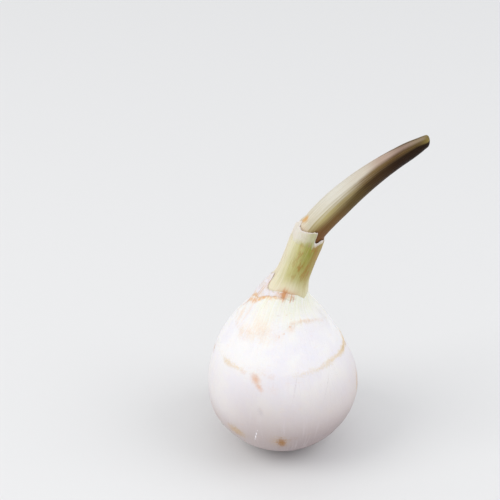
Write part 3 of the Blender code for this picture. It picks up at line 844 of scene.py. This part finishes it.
def make_sheath():
    turn = np.linspace(0.0, TURN, PAPER_SIDES, endpoint=False)[None, :]
    rise = np.linspace(0.0, 1.0, PAPER_ROWS)[:, None] ** 0.85
    torn = 0.13 * ragged(turn, 41, 20, 60) + 0.12 * np.abs(ragged(turn, 42, 70, 170))
    top = from_table(SHEATH_TOP, turn) + torn * (1.0 - 0.6 * np.exp(-(turn_gap(turn, 310) / 0.4) ** 2))
    foot = SHEATH_FOOT + 0.35 * ragged(turn, 43, 3, 10)
    height = foot + (top - foot) * rise
    s = NODE_S + height
    lean_over = np.exp(-(turn_gap(turn, 289) / 0.35) ** 2)
    angle = turn + np.radians(2.1) * np.maximum(height, 0.0) * lean_over
    hug = SHEATH_HUG * np.exp(-(turn_gap(angle, 350) / 0.75) ** 2) * ease(height, -1.4, 0.6)
    lean_in = SHEATH_LEAN * ease(height, 0.0, 2.0) + TOOTH_LEAN * ease(height, 2.8, 4.8)
    hug = hug + lean_in * np.exp(-(turn_gap(angle, 184) / 0.8) ** 2)
    flare = 0.16 * ragged(turn, 44, 3, 12) * ease(height, 0.0, 4.0)
    curl = 0.10 * ease(rise, 0.75, 1.0) * ragged(turn, 45, 9, 40)
    emerge = 0.22 * (1.0 - ease(rise, 0.0, 0.3))
    outer = np.minimum(SHEATH_RADIUS + flare + curl - hug - emerge, SHEATH_LIMIT)
    thick = PAPER * (1.0 - 0.5 * rise)
    inner = outer - thick
    to_edge = top - height
    return paper_mesh("sheath_paper", place_on_stem(s, angle, inner), place_on_stem(s, angle, outer),
                      rise + 0.0 * turn, to_edge, angle, s, wrap=True,
                      veil=to_edge / from_table(SHEATH_VEIL, turn))


def sheath_finish():
    skin = Skin("sheath_paper")
    fibre, to_edge = skin.read_vector("fibre"), skin.read("to_edge")
    colour, fine = stem_colour(skin, fibre, 18.0)
    cloud = skin.noise(skin.scaled(fibre, 0.6, 0.6, 0.4), 1.0, 4.0)
    left = skin.ramp(skin.facing(fibre, 205), 0.35, 0.95)
    pale = skin.mix(left, srgb(212, 208, 182), srgb(227, 216, 206))
    pale = skin.mix(skin.ramp(cloud, 0.4, 0.62, 0.0, 0.55), pale, srgb(232, 228, 216))
    wander = skin.maths("MULTIPLY", skin.maths("SUBTRACT", cloud, 0.5), 1.2)
    cover = skin.ramp(skin.maths("ADD", skin.read("veil"), wander), 1.25, 0.70)
    cover = skin.maths("MULTIPLY", cover, skin.maths("ADD", skin.maths("MULTIPLY", left, 0.28), 0.46))
    colour = skin.mix(cover, colour, pale)
    lip = skin.ramp(skin.facing(fibre, 314), 0.84, 0.98, 0.55, 2.0)
    colour = skin.mix(skin.ramp(to_edge, lip, 0.1, 0.0, 0.8), colour, srgb(232, 222, 218))
    relief = skin.bump(fine, 0.08)
    return skin.finish(colour, 0.5, relief, glow=0.2, reach=0.6)


def make_scale():
    start, end = (math.radians(degrees) for degrees in SCALE_SPAN)
    angle = np.linspace(start, end, PAPER_SIDES)[None, :]
    rise = np.linspace(0.0, 1.0, PAPER_ROWS)[:, None]
    torn = 0.14 * ragged(angle, 51, 16, 50) + 0.12 * np.abs(ragged(angle, 52, 70, 190))
    top = from_table(SCALE_TOP, angle) - 0.15 + torn
    steep = np.gradient(from_table(SCALE_TOP, angle)[0]) / (np.gradient(angle[0]) * STEM_RADIUS)
    foot = from_table(SCALE_FOOT, angle) - 0.4 + 0.2 * ragged(angle, 53, 12, 40)
    ends = ease(angle, start, start + 0.3) * (1.0 - ease(angle, end - 0.4, end))
    foot = foot + (1.0 - ends) * np.maximum(top - foot - 0.2, 0.0) * 0.8
    s = CROWN_S + foot + (top - foot) * rise
    flap = np.exp(-(turn_gap(angle, 185) / 0.16) ** 2) * ease(rise, 0.55, 1.0)
    emerge = ease(rise, 0.0, 0.35)
    stand = -0.10 + 0.15 * emerge + 0.04 * ragged(angle, 55, 5, 20) * rise + 0.10 * flap
    thick = 0.05 + (PAPER - 0.05) * emerge * ends
    outward, up = outline_normal(s)
    radius = outline_radius(s) - SKIN_INSET

    def layer(lift):
        return place(s, angle, radius + lift * outward, lift * up)

    found = stains_at(s - WIDEST_S, angle, radius)
    to_edge = (top - foot) * (1.0 - rise) / np.hypot(1.0, steep)
    worn = ease(angle, math.radians(248), math.radians(272)) + 0.0 * rise
    return paper_mesh("scale_paper", layer(stand), layer(stand + thick), rise + 0.0 * angle, to_edge,
                      angle, s, wrap=False, orange=found["orange"], strand=found["strand"],
                      pink=found["pink"], worn=worn)


def scale_finish():
    skin = Skin("scale_paper")
    fibre, rise, to_edge = skin.read_vector("fibre"), skin.read("rise"), skin.read("to_edge")
    where = skin.position()
    cloud = skin.noise(where, 0.5, 4.0)
    fine = skin.noise(skin.scaled(fibre, 3.4, 3.4, 0.22), 1.0, 4.0)
    colour = skin.mix(skin.ramp(cloud, 0.38, 0.62), srgb(236, 230, 234), srgb(232, 218, 208))
    colour = skin.mix(skin.ramp(rise, 0.22, 0.0), colour, srgb(240, 237, 222))
    band = skin.ramp(rise, 0.34, 0.06)
    left = skin.ramp(skin.facing(fibre, 205), 0.45, 0.90, 0.35, 1.0)
    torn = skin.noise(skin.scaled(fibre, 0.45, 0.45, 1.1), 1.0, 5.0, 0.65)
    frayed = skin.broken(skin.maths("MULTIPLY", band, left), torn, 1.8, 0.25, 1.0)
    colour = skin.mix(skin.maths("MULTIPLY", frayed, 0.8), colour, srgb(230, 176, 120))
    rim = skin.maths("MULTIPLY", skin.ramp(to_edge, 0.5, 0.02), skin.ramp(fine, 0.35, 0.6, 0.1, 0.5))
    colour = skin.mix(rim, colour, srgb(206, 176, 152))
    lines = skin.maths("MULTIPLY", skin.ramp(fine, 0.55, 0.70), 0.3)
    colour = skin.mix(lines, colour, srgb(206, 176, 156))
    colour = skin.mix(skin.read("worn"), colour, skin.mix(fine, srgb(240, 234, 216), srgb(232, 226, 200)))
    colour = neck_marks(skin, colour, fine)
    relief = skin.bump(fine, 0.10)
    return skin.finish(colour, 0.55, relief, glow=0.2, reach=0.6)


# The studio

def make_floor():
    half = 1.6  # metres
    corners = [(-half, -half, 0), (half, -half, 0), (half, half, 0), (-half, half, 0)]
    mesh = bpy.data.meshes.new("floor")
    mesh.from_pydata(corners, [], [(0, 1, 2, 3)])
    floor = bpy.data.objects.new("floor", mesh)
    bpy.context.scene.collection.objects.link(floor)
    skin = Skin("floor")
    mesh.materials.append(skin.finish(srgb(222, 222, 222), 0.7))


def make_lamp(name, at, target, size, power, colour):
    data = bpy.data.lights.new(name, "AREA")
    data.shape = "DISK"
    data.size = size
    data.energy = power
    data.color = colour
    lamp = bpy.data.objects.new(name, data)
    lamp.location = at
    lamp.rotation_euler = (Vector(target) - Vector(at)).to_track_quat("-Z", "Y").to_euler()
    bpy.context.scene.collection.objects.link(lamp)


def make_studio():
    scene = bpy.context.scene
    world = bpy.data.worlds.new("studio")
    world.use_nodes = True
    world.node_tree.nodes["Background"].inputs["Color"].default_value = (0.97, 0.98, 1.0, 1.0)
    world.node_tree.nodes["Background"].inputs["Strength"].default_value = 0.83
    scene.world = world
    scene.view_settings.view_transform = "Standard"
    middle = (0.0, 0.0, 0.05)
    make_lamp("key", (-0.65, -0.22, 0.72), middle, 0.60, 3.0, (1.0, 0.99, 0.97))
    make_lamp("fill", (0.67, -0.14, 0.72), middle, 0.7, 2.4, (0.97, 0.98, 1.0))
    data = bpy.data.cameras.new("camera")
    data.lens = CAMERA_LENS
    data.sensor_width = 36.0
    camera = bpy.data.objects.new("camera", data)
    camera.location = CAMERA_AT
    camera.rotation_euler = (math.pi / 2 - CAMERA_PITCH, 0.0, 0.0)
    scene.collection.objects.link(camera)
    scene.camera = camera


def show(obj, material, node, slot):
    obj.data.materials.append(material)
    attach(obj, "root")
    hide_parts(node)


show(make_corm(), corm_finish(), "corm", "corm_skin")
show(make_stem(), stem_finish(), "sprout_stem", "stem_skin")
show(make_spear(), spear_finish(), "bud_spear", "bud_skin")
show(make_sheath(), sheath_finish(), "node_sheath", "sheath_paper")
show(make_scale(), scale_finish(), "crown_scale", "scale_paper")
make_floor()
make_studio()
